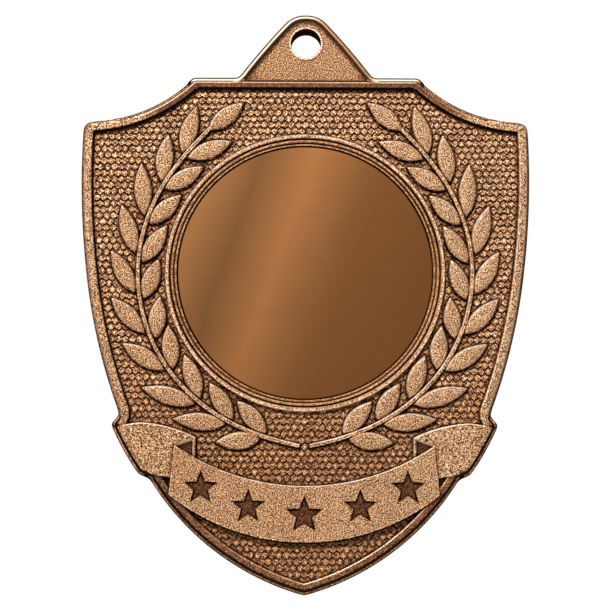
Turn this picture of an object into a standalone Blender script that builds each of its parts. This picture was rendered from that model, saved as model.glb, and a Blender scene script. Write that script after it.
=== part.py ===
"""Shield-shaped hanging award medal: a die-cast body, a round metal insert and the adhesive that holds it.

Frame: metres, +Z up. The medal hangs upright, its face looks along -Y, and it is symmetric about X = 0.
The origin is the centre of the suspension hole, halfway through the casting.

In this file a point of the relief is (x, z, height): x and z in millimetres from the insert's centre, and
height in millimetres above the casting's back plane.
"""

import math

import bmesh
import bpy
from mathutils import Vector

MM = 0.001

# --- Driving dimensions, millimetres --------------------------------------------------------------
INSERT_DIAMETER = 25.0
INSERT_THICKNESS = 0.5
INSERT_EDGE_BEVEL = 0.08
ADHESIVE_THICKNESS = 0.10
FIT_GAP = 0.05
THICKNESS = 3.0
HOLE_RISE = 23.15
HOLE_DIAMETER = 3.0
RIM_WIDTH = 1.2
SINK = 0.5

# Heights above the back plane
BACK_FIELD = 0.25
FIELD = 2.0
TAB_FACE = 2.2
TAB_RIM = 2.55
HOLE_LIP = 2.38
FOLD = 2.3
STEM = 2.6
LEAF_EDGE = 2.58
LEAF_CREST = 2.68
INSERT_FACE = 2.5
RIM = 2.75
TAIL = 2.85
PANEL = THICKNESS
STAR_FLOOR = 2.72

# --- Outlines -------------------------------------------------------------------------------------
# The right half: each entry is a corner and the sagitta of the stretch that follows it, + outward
SHIELD_TOP = 19.7
TAB_HALF = [(0.0, 26.15, 0.26), (2.1, 25.3, 0.10), (6.75, SHIELD_TOP, 0.0)]
TAB_FLANK_NORMAL = (0.77, 0.64)
TAB_RIM_WIDTH = 0.7
SHOULDER_START = (11.3, SHIELD_TOP, -1.05)
CORNER = (22.22, 15.25)
CORNER_ROUND = 0.8
SIDE_MIDDLE = (21.65, 0.0)
SIDE_SAGITTAS = (0.32, 0.455)
NOTCH = (18.1, -14.05)
TAIL_SHOULDER = (18.95, -14.95)
TAIL_EDGE = [(*TAIL_SHOULDER, 0.15), (16.15, -19.85, 0.0)]
UNDER_TAIL = (17.0, -17.0, 0.0)
LOWER_START = (15.05, -20.3, 1.77)
TIP = (0.0, -31.45)
ARC_STEP = 1.6

# --- Laurel branches: leaves leave a stem that runs round the insert ------------------------------
STEM_RADIUS = 16.45
STEM_FLARE = 0.75
STEM_START_DEG = 1.4
STEM_END_DEG = 146.0
STEM_WIDTH = 0.5
# Each leaf: the angle along the stem where it starts, and its length
OUTER_LEAVES = [(14.5, 4.5), (27, 5.3), (39, 5.7), (54.5, 5.1), (68.5, 5.0)]
OUTER_LEAVES += [(82.5, 5.0), (96, 5.2), (109, 5.5), (122, 5.0), (134, 5.1)]
OUTER_SPLAY_DEG = 22.5
INNER_LEAVES = [(13, 4.4), (25.5, 4.4), (39, 4.7), (53, 4.5), (65.5, 4.3)]
INNER_LEAVES += [(80, 4.4), (93, 4.6), (107, 4.4), (120.5, 4.6), (134, 4.9)]
INNER_SPLAY_DEG = -30.0
END_LEAF_LENGTH = 4.65
END_LEAF_SPLAY_DEG = -7.0
LEAF_WIDTH = 1.85
LEAF_OFFSET = 0.35

# --- Ribbon banner with recessed stars ------------------------------------------------------------
PANEL_TOP_RADIUS = 22.2
PANEL_TOP_LOW = -20.9
PANEL_TOP_HALF = 12.65
PANEL_BOTTOM_RADIUS = 21.2
PANEL_BOTTOM_LOW = -26.42
PANEL_BOTTOM_HALF = 13.15
STARS = [(0.0, -23.75, 1.92), (5.4, -22.95, 1.74), (10.0, -21.15, 1.74)]
STAR_WAIST = 0.42
# Right tail: its top edge outward, its bottom edge inward, and the turn where it folds behind the panel
TAIL_TOP = [(10.5, -16.25), (12.2, -15.6), (14.2, -15.0), (16.0, -14.8), (17.9, -14.95)]
TAIL_BOTTOM = [(15.3, -19.8), (13.1, -20.25), (12.4, -20.25)]
TAIL_TURN = [(12.4, -17.25), (10.95, -16.5), (10.85, -18.3), (10.5, -18.3)]
FOLD_CORNERS = [(12.6, -17.0), (10.7, -16.3), (10.7, -18.5), (12.6, -18.5)]

# --- Bezel: distance outside the recess wall, and height, over its lip, inner bead and outer ring
BEZEL_PROFILE = [(0.0, 2.42), (0.07, 2.5), (0.17, 2.5), (0.26, 2.3), (0.31, 2.3)]
BEZEL_PROFILE += [(0.42, 2.6), (0.56, 2.6), (0.68, 2.3), (0.73, 2.3)]
BEZEL_PROFILE += [(0.83, 2.7), (1.08, 2.7), (1.16, 2.6)]
HOLE_LIP_WIDTH = 0.25

# --- Mesh fineness --------------------------------------------------------------------------------
RING_SEGMENTS = 72
HOLE_SEGMENTS = 32
STEM_STEPS = 22


def point(x, z, height):
    """World position in metres of a point of the relief."""
    return Vector((x, THICKNESS / 2 - height, z - HOLE_RISE)) * MM


def arc(start, end, sagitta):
    """Points from start up to, but not including, end, along an arc that bulges to the left by sagitta."""
    chord = math.dist(start, end)
    if abs(sagitta) < 1e-6:
        return [start]
    radius = (chord * chord / 4 + sagitta * sagitta) / (2 * abs(sagitta))
    half_angle = math.asin(chord / 2 / radius)
    steps = max(2, math.ceil(2 * half_angle * radius / ARC_STEP))
    along = ((end[0] - start[0]) / chord, (end[1] - start[1]) / chord)
    left = (-along[1], along[0])
    side = math.copysign(1, sagitta)
    points = []
    for i in range(steps):
        angle = -half_angle + 2 * half_angle * i / steps
        run = chord / 2 + radius * math.sin(angle)
        rise = side * (radius * math.cos(angle) - radius * math.cos(half_angle))
        points.append(tuple(start[k] + along[k] * run + left[k] * rise for k in (0, 1)))
    return points


def mirrored_outline(half, last):
    """Closed outline, clockwise from the top, of the right half's stretches and their mirror image."""
    corners = [(x, z) for x, z, _ in half] + [last]
    right = []
    for (x, z, sagitta), end in zip(half, corners[1:]):
        right += arc((x, z), end, sagitta)
    right.append(last)
    left = [(-x, z) for x, z in reversed(right) if x > 1e-6]
    return right + left


def inset(outline, distance):
    """The outline moved inward by distance, mitred at its corners."""
    moved = []
    count = len(outline)
    for i in range(count):
        before, here, after = (Vector(outline[(i + k) % count]) for k in (-1, 0, 1))
        incoming = (here - before).normalized()
        outgoing = (after - here).normalized()
        inward = Vector((incoming.y + outgoing.y, -incoming.x - outgoing.x)).normalized()
        reach = distance / inward.dot(Vector((outgoing.y, -outgoing.x)))
        moved.append(tuple(here + inward * reach))
    return moved


def silhouette():
    """Outline of the whole casting: tab, shield and the two ribbon tails that stand past its sides."""
    half = TAB_HALF + [SHOULDER_START]
    half.append((CORNER[0] - CORNER_ROUND, CORNER[1], CORNER_ROUND * 0.29))
    half += side_stretches(CORNER[1] - CORNER_ROUND) + TAIL_EDGE + [LOWER_START]
    return mirrored_outline(half, TIP)


def side_stretches(top):
    """The right side's stretches, from a height near its upper corner down to the notch above the tail."""
    return [(CORNER[0], top, SIDE_SAGITTAS[0]), (*SIDE_MIDDLE, SIDE_SAGITTAS[1]), (*NOTCH, 0.0)]


def shield_outline():
    """Outline of the shield alone, with the tab and the ribbon tails left off."""
    half = [(0.0, SHIELD_TOP, 0.0), SHOULDER_START] + side_stretches(CORNER[1])
    half += [(*TAIL_SHOULDER, 0.0), UNDER_TAIL, LOWER_START]
    return mirrored_outline(half, TIP)


def tab_field_outline():
    """Outline of the tab's sunk face, inside its rim and down to the shield's top edge."""
    (_, crown, crown_sagitta), (flank_x, flank_z, flank_sagitta), (foot, _, _) = TAB_HALF
    shrink = 1 - TAB_RIM_WIDTH / flank_x / 2
    start = (0.0, crown - TAB_RIM_WIDTH, crown_sagitta * shrink)
    across, up = TAB_FLANK_NORMAL
    flank = (flank_x - TAB_RIM_WIDTH * across, flank_z - TAB_RIM_WIDTH * up, flank_sagitta)
    return mirrored_outline([start, flank], (foot - TAB_RIM_WIDTH / across, SHIELD_TOP))


def new_object(name, mesh_builder):
    """Object whose mesh is what mesh_builder puts in an empty bmesh, with its faces turned outward."""
    mesh = bpy.data.meshes.new(name)
    bm = bmesh.new()
    mesh_builder(bm)
    bmesh.ops.recalc_face_normals(bm, faces=bm.faces)
    bm.to_mesh(mesh)
    bm.free()
    item = bpy.data.objects.new(name, mesh)
    bpy.context.collection.objects.link(item)
    return item


def add_prism(bm, outline, low, high):
    """Closed prism over outline between two heights."""
    bottom = [bm.verts.new(point(x, z, low)) for x, z in outline]
    top = [bm.verts.new(point(x, z, high)) for x, z in outline]
    count = len(outline)
    bm.faces.new(bottom)
    bm.faces.new(top)
    for i in range(count):
        j = (i + 1) % count
        bm.faces.new((bottom[i], bottom[j], top[j], top[i]))


def add_turning(bm, centre, profile, segments):
    """Closed solid turned about the axis through centre; profile is a closed loop of (radius, height)."""
    rings = []
    for i in range(segments):
        angle = 2 * math.pi * i / segments
        across, up = math.sin(angle), math.cos(angle)
        places = [point(centre[0] + r * across, centre[1] + r * up, h) for r, h in profile]
        rings.append([bm.verts.new(place) for place in places])
    for i in range(segments):
        here, there = rings[i], rings[(i + 1) % segments]
        for k in range(len(profile)):
            m = (k + 1) % len(profile)
            bm.faces.new((here[k], here[m], there[m], there[k]))


def disc_outline(radius, segments, centre=(0.0, 0.0)):
    """Regular polygon that stands for a circle."""
    angles = [2 * math.pi * i / segments for i in range(segments)]
    return [(centre[0] + radius * math.sin(a), centre[1] + radius * math.cos(a)) for a in angles]


def cut(body, cutter):
    """Take cutter out of body with a Boolean, and keep the cutter as a hidden guide."""
    combine(body, cutter, "DIFFERENCE")


def fuse(body, addition):
    """Join addition to body with a Boolean, and keep the addition as a hidden guide."""
    combine(body, addition, "UNION")


def combine(body, tool, operation):
    modifier = body.modifiers.new(f"{operation.lower()}_{tool.name}", "BOOLEAN")
    modifier.operation = operation
    modifier.solver = "EXACT"
    modifier.object = tool
    tool.hide_render = True
    tool.display_type = "WIRE"


# --- Laurel ---------------------------------------------------------------------------------------
def stem_point(degrees, side):
    """Point of a stem, measured from straight below the insert; both ends swing out from the circle."""
    middle = STEM_END_DEG / 2
    radius = STEM_RADIUS + STEM_FLARE * ((degrees - middle) / middle) ** 6
    angle = math.radians(degrees)
    return Vector((side * radius * math.sin(angle), -radius * math.cos(angle)))


def stem_direction(degrees, side):
    return (stem_point(degrees + 0.5, side) - stem_point(degrees - 0.5, side)).normalized()


def add_stem(bm, side):
    """Bar with a narrower top that follows the stem's line."""
    sections = []
    for i in range(STEM_STEPS + 1):
        degrees = STEM_START_DEG + (STEM_END_DEG - STEM_START_DEG) * i / STEM_STEPS
        centre = stem_point(degrees, side)
        across = stem_direction(degrees, side)
        across = Vector((-across.y, across.x))
        foot, top = across * STEM_WIDTH / 2, across * STEM_WIDTH / 4
        corners = [(-foot, FIELD - SINK), (foot, FIELD - SINK), (foot, FIELD)]
        corners += [(top, STEM), (-top, STEM), (-foot, FIELD)]
        sections.append([bm.verts.new(point(*(centre + offset), height)) for offset, height in corners])
    for here, there in zip(sections, sections[1:]):
        for k in range(6):
            m = (k + 1) % 6
            bm.faces.new((here[k], here[m], there[m], there[k]))
    bm.faces.new(sections[0])
    bm.faces.new(sections[-1])


def add_leaf(bm, base, direction, length):
    """Pointed leaf with a raised centre line, from its base along direction."""
    across = Vector((-direction.y, direction.x))
    stations = (0.0, 0.25, 0.55, 0.8, 1.0)
    widths = [LEAF_WIDTH / 2 * math.sin(math.pi * s**0.9) ** 0.8 if 0 < s < 1 else 0.0 for s in stations]
    spine = [base + direction * length * s for s in stations]
    left = [c + across * w for c, w in zip(spine, widths)]
    right = [c - across * w for c, w in zip(spine, widths)]
    rim = left + right[-2:0:-1]
    foot = [bm.verts.new(point(*p, FIELD - SINK)) for p in rim]
    edge = [bm.verts.new(point(*p, LEAF_EDGE)) for p in rim]
    crest = [bm.verts.new(point(*p, LEAF_CREST)) for p in spine[1:-1]]
    count = len(rim)
    bm.faces.new(foot)
    for i in range(count):
        j = (i + 1) % count
        bm.faces.new((foot[i], foot[j], edge[j], edge[i]))
    last = len(stations) - 1
    for near in (range(last + 1), [0] + list(range(count - 1, last - 1, -1))):
        edges = [edge[i] for i in near]
        bm.faces.new((edges[0], edges[1], crest[0]))
        for k in range(1, last - 1):
            bm.faces.new((edges[k], edges[k + 1], crest[k], crest[k - 1]))
        bm.faces.new((edges[-2], edges[-1], crest[-1]))


def turned(direction, degrees, side):
    """Direction turned away from the insert by degrees, for the branch on that side."""
    angle = math.radians(degrees) * side
    return Vector(
        (
            direction.x * math.cos(angle) + direction.y * math.sin(angle),
            direction.y * math.cos(angle) - direction.x * math.sin(angle),
        )
    )


def add_leaf_row(bm, side, leaves, splay_degrees):
    """Row of leaves on one flank of a stem; a positive splay puts them on the outer flank."""
    for degrees, length in leaves:
        direction = stem_direction(degrees, side)
        outward = stem_point(degrees, side).normalized() * math.copysign(LEAF_OFFSET, splay_degrees)
        add_leaf(bm, stem_point(degrees, side) + outward, turned(direction, splay_degrees, side), length)


def build_leaves(bm):
    for side in (-1, 1):
        add_leaf_row(bm, side, OUTER_LEAVES, OUTER_SPLAY_DEG)
        add_leaf_row(bm, side, INNER_LEAVES, INNER_SPLAY_DEG)
        end_direction = turned(stem_direction(STEM_END_DEG, side), END_LEAF_SPLAY_DEG, side)
        add_leaf(bm, stem_point(STEM_END_DEG, side) - end_direction * 0.1, end_direction, END_LEAF_LENGTH)


# --- Ribbon ---------------------------------------------------------------------------------------
def bowl_curve(half_width, low, radius, count):
    """Points along a hanging circular curve from +half_width to -half_width."""
    points = []
    for i in range(count + 1):
        x = half_width * (1 - 2 * i / count)
        points.append((x, low + radius - math.sqrt(radius * radius - x * x)))
    return points


def panel_outline():
    top = bowl_curve(PANEL_TOP_HALF, PANEL_TOP_LOW, PANEL_TOP_RADIUS, 16)
    bottom = bowl_curve(PANEL_BOTTOM_HALF, PANEL_BOTTOM_LOW, PANEL_BOTTOM_RADIUS, 16)
    return top + bottom[::-1]


def star_outline(x, z, radius):
    points = []
    for i in range(10):
        reach = radius * (1.0 if i % 2 == 0 else STAR_WAIST)
        angle = math.pi * i / 5
        points.append((x + reach * math.sin(angle), z + reach * math.cos(angle)))
    return points


def build_stars(bm):
    for x, z, radius in STARS:
        for side in (-1, 1) if x else (1,):
            add_prism(bm, star_outline(side * x, z, radius), STAR_FLOOR, PANEL + SINK)


def tail_outline(side):
    """Ribbon tail behind the panel, up to its outer edge, which the silhouette shares."""
    outer_top, outer_low = TAIL_EDGE[0][:2], TAIL_EDGE[1][:2]
    edge = inset_line(arc(outer_top, outer_low, TAIL_EDGE[0][2]) + [outer_low], FIT_GAP)
    return [(side * x, z) for x, z in TAIL_TOP + edge + TAIL_BOTTOM + TAIL_TURN]


def inset_line(points, distance):
    """The tail's outer edge, moved toward the shield so that it isn't flush with the silhouette."""
    return [(x - distance, z) for x, z in points]


def build_tails(bm):
    for side in (-1, 1):
        add_prism(bm, tail_outline(side), FIELD - SINK, TAIL)


def build_folds(bm):
    """The sunk floor where each tail turns behind the panel."""
    for side in (-1, 1):
        add_prism(bm, [(side * x, z) for x, z in FOLD_CORNERS], FIELD - SINK, FOLD)


# --- Casting, insert and adhesive -----------------------------------------------------------------
def recess_floor():
    return INSERT_FACE - INSERT_THICKNESS - ADHESIVE_THICKNESS - 2 * FIT_GAP


def recess_radius():
    return INSERT_DIAMETER / 2 + 2 * FIT_GAP


def build_bezel(bm):
    """Lip, inner bead and outer ring round the insert's recess."""
    wall = recess_radius()
    profile = [(wall + offset, height) for offset, height in BEZEL_PROFILE]
    profile = [(wall, FIELD - SINK)] + profile + [(profile[-1][0], FIELD - SINK)]
    add_turning(bm, (0.0, 0.0), profile, RING_SEGMENTS)


def build_hole_lip(bm):
    """Raised ring round the hole; the hole is cut through it afterwards, so it starts inside the bore."""
    inner, outer = HOLE_DIAMETER / 2 - FIT_GAP, HOLE_DIAMETER / 2 + HOLE_LIP_WIDTH
    base = TAB_FACE - SINK
    profile = [(inner, base), (inner, HOLE_LIP), (outer, HOLE_LIP), (outer, base)]
    add_turning(bm, (0.0, HOLE_RISE), profile, HOLE_SEGMENTS)


def make_medal_body():
    body = new_object("medal_body", lambda bm: add_prism(bm, silhouette(), 0.0, RIM))
    field = inset(shield_outline(), RIM_WIDTH)
    tab_field = tab_field_outline()
    half_width, over_tab = CORNER[0], TAB_HALF[0][1] + SINK
    above = [(-half_width, SHIELD_TOP), (-half_width, over_tab)]
    above += [(half_width, over_tab), (half_width, SHIELD_TOP)]
    recess = disc_outline(recess_radius(), RING_SEGMENTS)
    hole = disc_outline(HOLE_DIAMETER / 2, HOLE_SEGMENTS, (0.0, HOLE_RISE))

    cut(body, new_object("cut_field", lambda bm: add_prism(bm, field, FIELD, RIM + SINK)))
    cut(body, new_object("cut_back", lambda bm: add_prism(bm, field, -SINK, BACK_FIELD)))
    cut(body, new_object("cut_tab", lambda bm: add_prism(bm, above, TAB_RIM, RIM + SINK)))
    cut(body, new_object("cut_tab_face", lambda bm: add_prism(bm, tab_field, TAB_FACE, RIM + SINK)))
    fuse(body, new_object("add_stem_left", lambda bm: add_stem(bm, -1)))
    fuse(body, new_object("add_stem_right", lambda bm: add_stem(bm, 1)))
    fuse(body, new_object("add_leaves", build_leaves))
    fuse(body, new_object("add_bezel", build_bezel))
    fuse(body, new_object("add_folds", build_folds))
    fuse(body, new_object("add_tails", build_tails))
    fuse(body, new_object("add_panel", lambda bm: add_prism(bm, panel_outline(), FIELD - SINK, PANEL)))
    fuse(body, new_object("add_hole_lip", build_hole_lip))
    cut(body, new_object("cut_stars", build_stars))
    cut(body, new_object("cut_recess", lambda bm: add_prism(bm, recess, recess_floor(), RIM + SINK)))
    cut(body, new_object("cut_hole", lambda bm: add_prism(bm, hole, -SINK, RIM + SINK)))
    return body


def build_insert(bm):
    radius, base = INSERT_DIAMETER / 2, INSERT_FACE - INSERT_THICKNESS
    rings = [(radius, base), (radius, INSERT_FACE - INSERT_EDGE_BEVEL)]
    rings.append((radius - INSERT_EDGE_BEVEL, INSERT_FACE))
    loops = [[bm.verts.new(point(x, z, h)) for x, z in disc_outline(r, RING_SEGMENTS)] for r, h in rings]
    for here, there in zip(loops, loops[1:]):
        for i in range(RING_SEGMENTS):
            j = (i + 1) % RING_SEGMENTS
            bm.faces.new((here[i], here[j], there[j], there[i]))
    bm.faces.new(loops[0])
    bm.faces.new(loops[-1])


def build_adhesive(bm):
    low = recess_floor() + FIT_GAP
    add_prism(bm, disc_outline(INSERT_DIAMETER / 2 - 0.5, RING_SEGMENTS), low, low + ADHESIVE_THICKNESS)


def material(name, colour, roughness, metallic):
    finish = bpy.data.materials.new(name)
    finish.use_nodes = True
    shader = finish.node_tree.nodes["Principled BSDF"]
    shader.inputs["Base Color"].default_value = (*colour, 1.0)
    shader.inputs["Roughness"].default_value = roughness
    shader.inputs["Metallic"].default_value = metallic
    return finish


def finish_piece(item, finish):
    item.data.materials.append(finish)
    item.data.shade_smooth()
    item.data.set_sharp_from_angle(angle=math.radians(30))


for old in list(bpy.data.objects):
    bpy.data.objects.remove(old, do_unlink=True)

antique_bronze = material("antique_bronze", (0.36, 0.19, 0.10), 0.42, 1.0)
brushed_bronze = material("brushed_bronze", (0.26, 0.11, 0.04), 0.35, 1.0)
adhesive_film = material("adhesive_film", (0.75, 0.74, 0.70), 0.6, 0.0)
finish_piece(make_medal_body(), antique_bronze)
finish_piece(new_object("insert_disc", build_insert), brushed_bronze)
finish_piece(new_object("insert_adhesive", build_adhesive), adhesive_film)
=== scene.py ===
"""Looks for the shield award medal: the casting's full relief, the insert, studio light and the camera.

A point of the relief is (x, z) in millimetres from the insert's centre, with its height in millimetres above
the casting's back plane. Heights and outlines repeat those of the CAD, and world() puts them in the frame.
"""

import math

import bpy
import numpy as np
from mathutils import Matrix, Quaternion, Vector
from mathutils.geometry import delaunay_2d_cdt

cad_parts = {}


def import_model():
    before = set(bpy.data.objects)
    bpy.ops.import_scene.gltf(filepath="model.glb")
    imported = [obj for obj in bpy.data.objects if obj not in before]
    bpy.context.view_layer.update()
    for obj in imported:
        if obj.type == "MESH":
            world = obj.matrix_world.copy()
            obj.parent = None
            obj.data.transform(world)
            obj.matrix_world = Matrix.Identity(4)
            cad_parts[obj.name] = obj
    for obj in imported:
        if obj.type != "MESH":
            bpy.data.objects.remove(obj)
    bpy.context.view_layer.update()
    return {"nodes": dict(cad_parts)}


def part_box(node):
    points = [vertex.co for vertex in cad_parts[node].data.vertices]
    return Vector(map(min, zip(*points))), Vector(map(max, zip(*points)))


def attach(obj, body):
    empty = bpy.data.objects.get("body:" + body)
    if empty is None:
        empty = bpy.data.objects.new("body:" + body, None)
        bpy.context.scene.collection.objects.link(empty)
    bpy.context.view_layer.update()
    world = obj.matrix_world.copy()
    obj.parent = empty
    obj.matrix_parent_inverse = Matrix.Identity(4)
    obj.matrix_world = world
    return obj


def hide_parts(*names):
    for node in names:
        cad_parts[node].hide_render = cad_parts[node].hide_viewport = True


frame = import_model()

MM = 0.001
SEED = 7

# --- Design dimensions shared with the CAD, millimetres ---
insert_low, insert_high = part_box("insert_disc")
body_low, body_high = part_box("medal_body")
INSERT_RADIUS = (insert_high.x - insert_low.x) / 2 / MM
INSERT_CENTRE_Z = (insert_high.z + insert_low.z) / 2 / MM
THICKNESS = (body_high.y - body_low.y) / MM
INSERT_FACE = THICKNESS / 2 - insert_low.y / MM
INSERT_BACK = THICKNESS / 2 - insert_high.y / MM
INSERT_ROUND = 0.08
HOLE_RISE = -INSERT_CENTRE_Z
HOLE_RADIUS = 1.5

# Heights above the back plane
BACK_FIELD = 0.25
RECESS_FLOOR = 1.8
FIELD = 2.0
TAB_FACE = 2.2
TAB_RIM = 2.55
FOLD = 2.3
STEM = 2.6
LEAF_EDGE = 2.58
LEAF_CREST = 2.68
RIM = 2.75
TAIL = 2.85
PANEL = THICKNESS
STAR_FLOOR = 2.72

# Outlines, right half. Three numbers are a corner and the sagitta of the stretch after it, + for outward
SHIELD_TOP = 19.7
TAB_HALF = [(0.0, 26.15, 0.26), (2.1, 25.3, 0.10), (6.75, SHIELD_TOP, 0.0)]
SHOULDER_START = (11.3, SHIELD_TOP, -1.05)
CORNER = (22.22, 15.25)
CORNER_ROUND = 0.8
CORNER_SAGITTA = 0.29 * CORNER_ROUND
SIDE_MIDDLE = (21.65, 0.0)
SIDE_SAGITTAS = (0.32, 0.455)
NOTCH = (18.1, -14.05)
TAIL_SHOULDER = (18.95, -14.95)
TAIL_EDGE = [(*TAIL_SHOULDER, 0.15), (16.15, -19.85, 0.0)]
LOWER_START = (15.05, -20.3, 1.77)
UNDER_TAIL = (17.0, -17.0, 0.0)
TIP = (0.0, -31.45)
RIM_WIDTH = 1.2

# The tab's rim: a bevel outside, from the height of its foot up, and a slope inside between two distances
TAB_BEVEL = 0.45
TAB_BEVEL_FOOT = 2.3
TAB_SLOPE = (0.6, 1.0)

# The casting's side, from its front edge back: a drafted wall, a parting-line ledge, and a drafted back half
LEDGE_WIDTH = 0.22
SIDE_HEIGHT = 1.75
WALL_SLOPE = 4.2
SIDE_TOP = LEDGE_WIDTH + (RIM - SIDE_HEIGHT) / WALL_SLOPE
EDGE_ROUND = 0.09
BEVEL_WIDTH = 0.27
BEVEL_DROP = 0.04
TOP_BEVEL_DROP = 0.17
FLANGE_BACK = 1.3
BACK_RUN = 0.18
BACK_CHAMFER = 0.12
BACK_WALL = 0.15

# Laurel branches
STEM_RADIUS = 16.45
STEM_FLARE = 0.75
STEM_START_DEG = 1.4
STEM_END_DEG = 146.0
STEM_WIDTH = 0.5
STEM_POINTS = 130
OUTER_LEAVES = [(14.5, 4.5), (27, 5.3), (39, 5.7), (54.5, 5.1), (68.5, 5.0)]
OUTER_LEAVES += [(82.5, 5.0), (96, 5.2), (109, 5.5), (122, 5.0), (134, 5.1)]
OUTER_SPLAY_DEG = 22.5
INNER_LEAVES = [(13, 4.4), (25.5, 4.4), (39, 4.7), (53, 4.5), (65.5, 4.3)]
INNER_LEAVES += [(80, 4.4), (93, 4.6), (107, 4.4), (120.5, 4.6), (134, 4.9)]
INNER_SPLAY_DEG = -30.0
END_LEAF_LENGTH = 4.65
END_LEAF_SPLAY_DEG = -7.0
END_LEAF_OVERLAP = 0.1
LEAF_WIDTH = 1.85
LEAF_OFFSET = 0.35

# Ribbon banner
FOLD_LIP = ((10.95, -16.5), (12.55, -17.1))
TAIL_SINKS_FROM = 16.0
TAIL_SINK_RUN = 2.2
PANEL_TOP_RADIUS = 22.2
PANEL_TOP_LOW = -20.9
PANEL_TOP_HALF = 12.65
PANEL_BOTTOM_RADIUS = 21.2
PANEL_BOTTOM_LOW = -26.42
PANEL_BOTTOM_HALF = 13.15
STARS = [(0.0, -23.75, 1.92), (5.4, -22.95, 1.74), (10.0, -21.15, 1.74)]
STAR_WAIST = 0.42

# Bezel round the insert: (distance outside the insert, height) across its lip, inner bead and outer bead
BEZEL_PROFILE = [(0.10, RECESS_FLOOR), (0.13, 2.42), (0.17, 2.50), (0.27, 2.50), (0.33, 2.32), (0.42, 2.30)]
BEZEL_PROFILE += [(0.48, 2.52), (0.54, 2.60), (0.66, 2.60), (0.72, 2.52), (0.77, 2.30), (0.84, 2.30)]
BEZEL_PROFILE += [(0.89, 2.62), (0.95, 2.70), (1.065, 2.69), (1.18, 2.70), (1.25, 2.62), (1.30, 1.90)]
BEZEL = [(INSERT_RADIUS + outside, height) for outside, height in BEZEL_PROFILE]
BEZEL_TOPS = (2.50, 2.60, 2.70)
BEZEL_GROOVES = (RECESS_FLOOR, 2.30)

# Lip round the hole: (distance outside the bore, height)
HOLE_LIP = [(0.0, 2.33), (0.05, 2.38), (0.17, 2.38), (0.25, 1.5)]

# Field of overlapping scales, each with a pointed lower end that hangs over the row below; its jitter repeats
# after so many rows and half columns
SCALE_PITCH = 0.69
SCALE_ROW = 0.615
SCALE_POINT = 0.3
SCALE_RISE = 0.2
SCALE_FALL = 0.18
SCALE_ROUND = 0.4
SCALE_STEP = 0.05
SCALE_LIP = 0.09
SCALE_JITTER = 0.028
SCALE_ROWS = 128
SCALE_HALF_COLUMNS = 256

# Raised pieces: their walls start a little under the field, and a crowned top rises over CROWN_RUN
WALL_FOOT = FIELD - 0.1
EDGE_SLOPE = 0.8
CROWN_RUN = 0.4
STAR_WALL = 0.09

# Patina and painted shadow: a raised piece darkens the field below it further than the field above it by
# SHADOW_LEAN, as a painted shadow of light from above. A step lower than SHALLOW_STEP counts as up to
# SHALLOW_RELIEF further away.
# The floors of stars and folds, and the tab's face, are as dark as the field at their distance from a step
# between scales; in the folds this is painted shade. DARK_EDGE, TAB_DARK_EDGE and ALWAYS_DARK paint shade
# along the outer edges and in the bore.
SHADOW_LEAN = 0.25
SHALLOW_STEP = 0.4
SHALLOW_RELIEF = 0.12
SUNK_GROOVE = 0.1
TAB_GROOVE = 0.2
DARK_EDGE = 0.1
TAB_DARK_EDGE = 0.24
ALWAYS_DARK = -0.05

# Calm: above 0 on smooth and darker metal, below 0 on polished metal. The rim's darkening towards the bottom
# is painted shade, and the polished line along the top of each fold is a painted highlight.
CALM_RIM_FROM = 15.2
TOP_CALM = 1.2
BOTTOM_CALM = 0.8
BOTTOM_CALM_RUN = 4.0
TAB_CALM = 1.7
TAB_CALM_EDGE = (0.7, 0.9)
POLISHED = -1.6

# Mesh fineness, how far the finish looks for an edge, and how near a line or a wall counts as on it
OUTLINE_STEP = 0.22
LINE_STEP = 0.25
FLAT_STEP = 0.34
FLAT_ROW = 0.866 * FLAT_STEP
FLAT_X = (-23, 23)
FLAT_Z = (-32, 27)
CORNER_SOFTNESS = 0.24
CIRCLE_POINTS = 240
HOLE_POINTS = 48
BOWL_POINTS = 70
SHARP_DEG = 30.0
REACH = 1.0
NEAR = 0.01


def world(points, heights):
    """Positions in metres of points of the relief."""
    points = np.asarray(points, float)
    heights = np.broadcast_to(heights, len(points))
    return np.column_stack([points[:, 0], THICKNESS / 2 - heights, points[:, 1] - HOLE_RISE]) * MM


# --- Outlines ---
def arc(start, end, sagitta, step):
    """Points from start up to, but not including, end, along an arc that bulges to the left by sagitta."""
    start, end = np.array(start, float), np.array(end, float)
    chord = np.linalg.norm(end - start)
    along = (end - start) / chord
    left = np.array([-along[1], along[0]])
    count = max(1, math.ceil(chord / step))
    t = np.arange(count) / count
    if abs(sagitta) < 1e-6:
        return start + np.outer(t * chord, along)
    radius = (chord * chord / 4 + sagitta * sagitta) / (2 * abs(sagitta))
    half_angle = math.asin(chord / 2 / radius)
    angle = half_angle * (2 * t - 1)
    run = chord / 2 + radius * np.sin(angle)
    rise = math.copysign(1, sagitta) * (radius * np.cos(angle) - radius * math.cos(half_angle))
    return start + np.outer(run, along) + np.outer(rise, left)


def mirrored_outline(half, last):
    """Closed outline, clockwise from the top, of the right half's stretches and their mirror image."""
    ends = [(x, z) for x, z, _ in half[1:]] + [last]
    stretches = [arc((x, z), end, bulge, OUTLINE_STEP) for (x, z, bulge), end in zip(half, ends)]
    right = np.vstack(stretches + [last])
    left = right[::-1]
    left = left[left[:, 0] > 1e-6] * (-1, 1)
    return np.vstack([right, left])


def softened(loop):
    """The closed loop with its corners rounded, by averaging along it."""
    step = OUTLINE_STEP / 4
    fine = resampled(loop, step)
    reach = int(3 * CORNER_SOFTNESS / step)
    shifts = range(-reach, reach + 1)
    weights = np.exp(-0.5 * (np.array(shifts) * step / CORNER_SOFTNESS) ** 2)
    smooth = sum(weight * np.roll(fine, shift, axis=0) for weight, shift in zip(weights, shifts))
    return resampled(smooth / weights.sum(), OUTLINE_STEP)


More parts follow.
